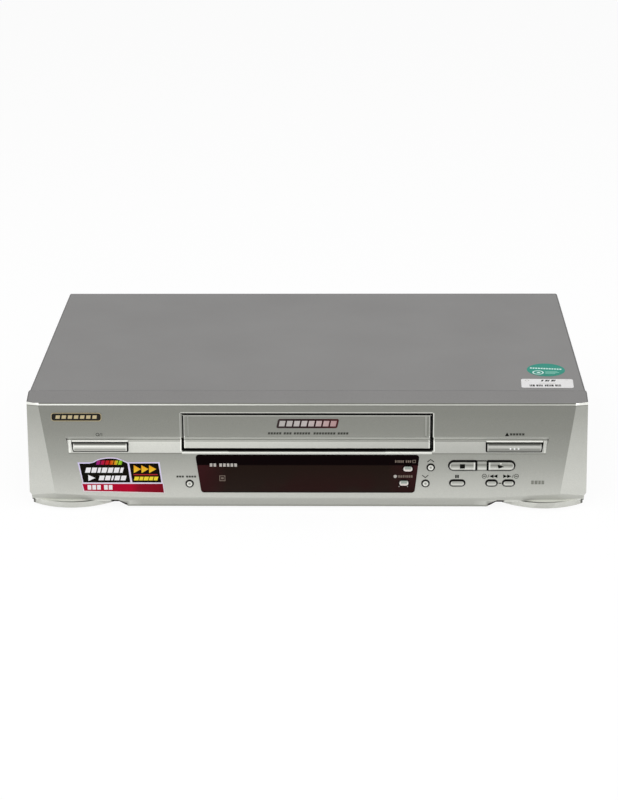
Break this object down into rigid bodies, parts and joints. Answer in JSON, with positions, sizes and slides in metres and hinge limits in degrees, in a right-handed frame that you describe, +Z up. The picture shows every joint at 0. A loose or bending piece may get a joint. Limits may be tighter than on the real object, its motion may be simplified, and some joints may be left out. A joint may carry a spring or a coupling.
{
  "type": "video cassette recorder",
  "caption": "Wide, low cassette recorder with an inward-opening door, smoked display window, press buttons and a tape deck with reels, head drum and capstan inside.",
  "frame": {"origin": "centre of the bounding box on the plane of the foot pads", "axes": "+X to the right seen from the front, +Y towards the rear panel, +Z up; the front faces -Y"},
  "size_m": [0.431, 0.274, 0.092],
  "materials": {
    "front_silver": "satin silver paint on plastic",
    "button_silver": "light silver caps",
    "cover_grey": "fine matt grey paint",
    "smoked_window": "dark red tinted acrylic",
    "zinc_steel": "zinc plated sheet",
    "bright_steel": "polished steel",
    "drum_aluminium": "fine turned",
    "motor_steel": "plated",
    "black_plastic": "moulded black",
    "black_screws": "black zinc",
    "rubber": "matt rubber",
    "circuit_board": "solder mask",
    "display_glass": "dark glass of the display, sealed inside",
    "transformer_core": "varnished laminations",
    "bearing_brass": "sintered bearing",
    "gear_plastic": "natural white"
  },
  "bodies": {
    "case": {"bottom_chassis": "zinc_steel", "top_cover": "cover_grey", "rear_panel": "zinc_steel", "front_panel": "front_silver", "display_window": "smoked_window", "door_spring": "bright_steel", "feet": "black_plastic", "foot_pads": "rubber", "cover_screws": "black_screws", "ac_inlet": "black_plastic", "scart_sockets": "black_plastic", "tuner_can": "zinc_steel", "main_board": "circuit_board", "board_components": "black_plastic", "power_transformer": "transformer_core", "heat_sink": "drum_aluminium", "front_board": "circuit_board", "tact_switches": "black_plastic", "display_module": "display_glass", "deck_chassis": "zinc_steel", "carriage_left": "zinc_steel", "carriage_right": "zinc_steel", "carriage_bridge": "zinc_steel", "lower_drum": "drum_aluminium", "capstan_housing": "bearing_brass", "capstan_stator": "circuit_board", "loading_motor": "motor_steel", "erase_head": "black_plastic", "audio_head": "black_plastic"},
    "door": {"cassette_door": "front_silver"},
    "power_button": {"power_button": "button_silver"},
    "eject_button": {"eject_button": "button_silver"},
    "stop_button": {"stop_button": "button_silver"},
    "play_button": {"play_button": "button_silver"},
    "pause_button": {"pause_button": "button_silver"},
    "rewind_button": {"rewind_button": "button_silver"},
    "fast_forward_button": {"fast_forward_button": "button_silver"},
    "channel_up_button": {"channel_up_button": "button_silver"},
    "channel_down_button": {"channel_down_button": "button_silver"},
    "link_button": {"link_button": "button_silver"},
    "timer_record_button": {"timer_record_button": "button_silver"},
    "record_button": {"record_button": "button_silver"},
    "carrier": {"holder_carrier": "black_plastic"},
    "holder": {"cassette_holder": "zinc_steel"},
    "drum": {"upper_drum": "drum_aluminium", "drum_rotor": "motor_steel"},
    "capstan": {"capstan_shaft": "bright_steel", "capstan_flywheel": "motor_steel"},
    "pinch_arm": {"pinch_arm": "bright_steel"},
    "pinch_roller": {"pinch_roller": "rubber"},
    "supply_reel": {"supply_reel": "black_plastic"},
    "takeup_reel": {"takeup_reel": "black_plastic"},
    "idler_arm": {"idler_arm": "bright_steel"},
    "idler_wheel": {"idler_wheel": "rubber"},
    "tension_arm": {"tension_arm": "bright_steel"},
    "supply_guide": {"supply_guide": "bright_steel"},
    "takeup_guide": {"takeup_guide": "bright_steel"},
    "loading_pinion": {"loading_pinion": "gear_plastic"},
    "cam_gear": {"cam_gear": "gear_plastic"}
  },
  "joints": [
    {"name": "door_hinge", "type": "hinge", "parent": "case", "child": "door", "pos_m": [0, -0.1304, 0.0772], "axis": [1, 0, 0], "range_deg": [0, 92], "stiffness_Nm_per_rad": 0.002, "springref_deg": -17.19},
    {"name": "power_press", "type": "slide", "parent": "case", "child": "power_button", "axis": [0, 1, 0], "range_m": [0, 0.0008], "stiffness_N_per_m": 1500},
    {"name": "eject_press", "type": "slide", "parent": "case", "child": "eject_button", "axis": [0, 1, 0], "range_m": [0, 0.0008], "stiffness_N_per_m": 1500},
    {"name": "stop_press", "type": "slide", "parent": "case", "child": "stop_button", "axis": [0, 1, 0], "range_m": [0, 0.0008], "stiffness_N_per_m": 1500},
    {"name": "play_press", "type": "slide", "parent": "case", "child": "play_button", "axis": [0, 1, 0], "range_m": [0, 0.0008], "stiffness_N_per_m": 1500},
    {"name": "pause_press", "type": "slide", "parent": "case", "child": "pause_button", "axis": [0, 1, 0], "range_m": [0, 0.0008], "stiffness_N_per_m": 1500},
    {"name": "rewind_press", "type": "slide", "parent": "case", "child": "rewind_button", "axis": [0, 1, 0], "range_m": [0, 0.0008], "stiffness_N_per_m": 1500},
    {"name": "fast_forward_press", "type": "slide", "parent": "case", "child": "fast_forward_button", "axis": [0, 1, 0], "range_m": [0, 0.0008], "stiffness_N_per_m": 1500},
    {"name": "channel_up_press", "type": "slide", "parent": "case", "child": "channel_up_button", "axis": [0, 1, 0], "range_m": [0, 0.0008], "stiffness_N_per_m": 1500},
    {"name": "channel_down_press", "type": "slide", "parent": "case", "child": "channel_down_button", "axis": [0, 1, 0], "range_m": [0, 0.0008], "stiffness_N_per_m": 1500},
    {"name": "link_press", "type": "slide", "parent": "case", "child": "link_button", "axis": [0, 1, 0], "range_m": [0, 0.0008], "stiffness_N_per_m": 1500},
    {"name": "timer_record_press", "type": "slide", "parent": "case", "child": "timer_record_button", "axis": [0, 1, 0], "range_m": [0, 0.0008], "stiffness_N_per_m": 1500},
    {"name": "record_press", "type": "slide", "parent": "case", "child": "record_button", "axis": [0, 1, 0], "range_m": [0, 0.0008], "stiffness_N_per_m": 1500},
    {"name": "carrier_in", "type": "slide", "parent": "case", "child": "carrier", "axis": [0, 1, 0], "range_m": [0, 0.07]},
    {"name": "holder_down", "type": "slide", "parent": "carrier", "child": "holder", "axis": [0, 0, -1], "range_m": [0, 0.021]},
    {"name": "drum_spin", "type": "hinge", "parent": "case", "child": "drum", "pos_m": [0, 0.047, 0.0212], "axis": [0.0872, 0, 0.9962], "continuous": true},
    {"name": "capstan_spin", "type": "hinge", "parent": "case", "child": "capstan", "pos_m": [0.06, 0.024, 0.03], "axis": [0, 0, 1], "continuous": true},
    {"name": "pinch_swing", "type": "hinge", "parent": "case", "child": "pinch_arm", "pos_m": [0.084, 0.034, 0.03], "axis": [0, 0, 1], "range_deg": [-25, 0], "stiffness_Nm_per_rad": 0.002, "springref_deg": 11.46},
    {"name": "pinch_roller_spin", "type": "hinge", "parent": "pinch_arm", "child": "pinch_roller", "pos_m": [0.0687, 0.0055, 0.038], "axis": [0, 0, 1], "continuous": true},
    {"name": "supply_reel_spin", "type": "hinge", "parent": "case", "child": "supply_reel", "pos_m": [-0.046, -0.05, 0.03], "axis": [0, 0, 1], "continuous": true},
    {"name": "takeup_reel_spin", "type": "hinge", "parent": "case", "child": "takeup_reel", "pos_m": [0.046, -0.05, 0.03], "axis": [0, 0, 1], "continuous": true},
    {"name": "idler_swing", "type": "hinge", "parent": "case", "child": "idler_arm", "pos_m": [0, -0.02, 0.026], "axis": [0, 0, 1], "range_deg": [-30, 30]},
    {"name": "idler_wheel_spin", "type": "hinge", "parent": "idler_arm", "child": "idler_wheel", "pos_m": [0, -0.046, 0.025], "axis": [0, 0, 1], "continuous": true},
    {"name": "tension_swing", "type": "hinge", "parent": "case", "child": "tension_arm", "pos_m": [-0.074, -0.004, 0.024], "axis": [0, 0, 1], "range_deg": [-20, 15], "stiffness_Nm_per_rad": 0.001},
    {"name": "cam_turn", "type": "hinge", "parent": "case", "child": "cam_gear", "pos_m": [-0.088, 0.058, 0.024], "axis": [0, 0, 1], "range_deg": [0, 160]},
    {"name": "loading_pinion_turn", "type": "hinge", "parent": "case", "child": "loading_pinion", "pos_m": [-0.088, 0.0309, 0.024], "axis": [0, 0, 1], "range_deg": [-480, 0]},
    {"name": "supply_guide_move", "type": "hinge", "parent": "case", "child": "supply_guide", "pos_m": [0, 0.047, 0.024], "axis": [0, 0, 1], "range_deg": [-80, 0]},
    {"name": "takeup_guide_move", "type": "hinge", "parent": "case", "child": "takeup_guide", "pos_m": [0, 0.047, 0.024], "axis": [0, 0, 1], "range_deg": [0, 80]}
  ],
  "couplings": [
    {"joint": "loading_pinion_turn", "follows": "cam_turn", "ratio": -3},
    {"joint": "supply_guide_move", "follows": "cam_turn", "ratio": -0.5},
    {"joint": "takeup_guide_move", "follows": "cam_turn", "ratio": 0.5}
  ]
}
